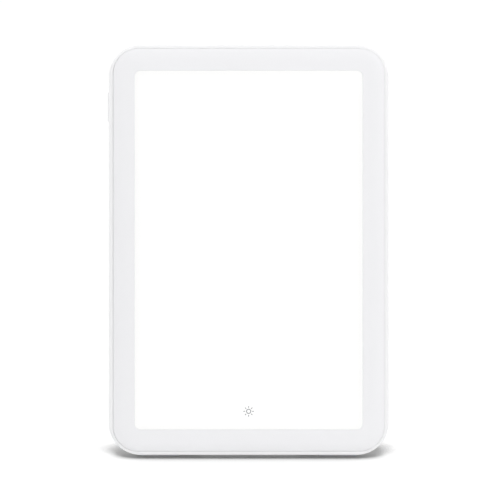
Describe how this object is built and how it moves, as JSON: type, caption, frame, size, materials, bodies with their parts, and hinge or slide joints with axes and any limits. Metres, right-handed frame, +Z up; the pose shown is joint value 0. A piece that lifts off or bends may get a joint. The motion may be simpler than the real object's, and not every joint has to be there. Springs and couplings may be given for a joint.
{
  "type": "light therapy lamp",
  "caption": "Slim tablet-shaped light therapy lamp: large lit window in a rounded white frame, side power button, DC inlet and a hinged rear leg.",
  "frame": {"origin": "on the table, at the centre of the footprint of the lamp's bounding box, as it stands with its leg open", "axes": "+Z up, +Y from the lit front to the back, +X to the right seen from the front"},
  "size_m": [0.1738, 0.0652, 0.2502],
  "materials": {
    "housing_white": "satin moulded ABS, cool white",
    "cover_white": "fine-textured moulded ABS, cool white",
    "opal_acrylic": "satin opal acrylic, evenly lit from behind",
    "optical_film": "translucent diffusing film",
    "clear_acrylic": "clear acrylic light guide",
    "reflector_film": "white reflector film",
    "aluminium_sheet": "mill-finish sheet",
    "bar_board": "white solder mask on a metal-core board",
    "led_package": "white package with yellow phosphor",
    "screw_steel": "zinc-plated steel",
    "pin_steel": "ground steel",
    "grey_rubber": "light grey silicone rubber, matt",
    "green_board": "green solder mask on glass-fibre board",
    "insulator_film": "grey-brown insulating paper",
    "black_component": "black moulded component",
    "ferrite_grey": "dark grey ferrite inductor",
    "can_aluminium": "aluminium can capacitor",
    "socket_nylon": "natural nylon wire socket",
    "contact_metal": "nickel-plated contact",
    "button_white": "smooth moulded button, light grey-white",
    "washer_acetal": "natural acetal",
    "wire_white": "white wire insulation",
    "wire_black": "black wire insulation"
  },
  "bodies": {
    "housing": {"front_bezel": "housing_white", "diffuser_panel": "opal_acrylic", "diffuser_film": "optical_film", "light_guide": "clear_acrylic", "reflector_sheet": "reflector_film", "heat_spreader": "aluminium_sheet", "spreader_screws": "screw_steel", "insulator_sheet": "insulator_film", "driver_board": "green_board", "board_screws": "screw_steel", "inductor": "ferrite_grey", "capacitors": "can_aluminium", "driver_chips": "black_component", "wire_sockets": "socket_nylon", "dc_jack": "black_component", "jack_pin": "contact_metal", "tact_switch": "black_component", "switch_board": "green_board", "led_lead_left": "wire_white", "led_lead_right": "wire_white", "switch_lead": "wire_black", "rear_cover": "cover_white", "cover_screws": "screw_steel", "hinge_pins": "pin_steel", "hinge_washers": "washer_acetal", "led_bar_left": "bar_board", "leds_left": "led_package", "base_foot_left": "grey_rubber", "led_bar_right": "bar_board", "leds_right": "led_package", "base_foot_right": "grey_rubber"},
    "stand": {"stand_leg": "cover_white", "leg_foot_pad": "grey_rubber"},
    "power_button": {"power_button": "button_white"},
    "tact_plunger": {"tact_plunger": "black_component"}
  },
  "joints": [
    {"name": "leg_fold", "type": "hinge", "parent": "housing", "child": "stand", "pos_m": [0.00035, 0.00433, 0.12595], "axis": [1, 0, 0], "range_deg": [-22, 0]},
    {"name": "power_press", "type": "slide", "parent": "housing", "child": "power_button", "axis": [1, 0, 0], "range_m": [0, 0.0005], "stiffness_N_per_m": 1500, "springref_m": -0.0004},
    {"name": "plunger_press", "type": "slide", "parent": "housing", "child": "tact_plunger", "axis": [1, 0, 0], "range_m": [0, 0.0005]}
  ],
  "couplings": [
    {"joint": "plunger_press", "follows": "power_press", "ratio": 1}
  ]
}
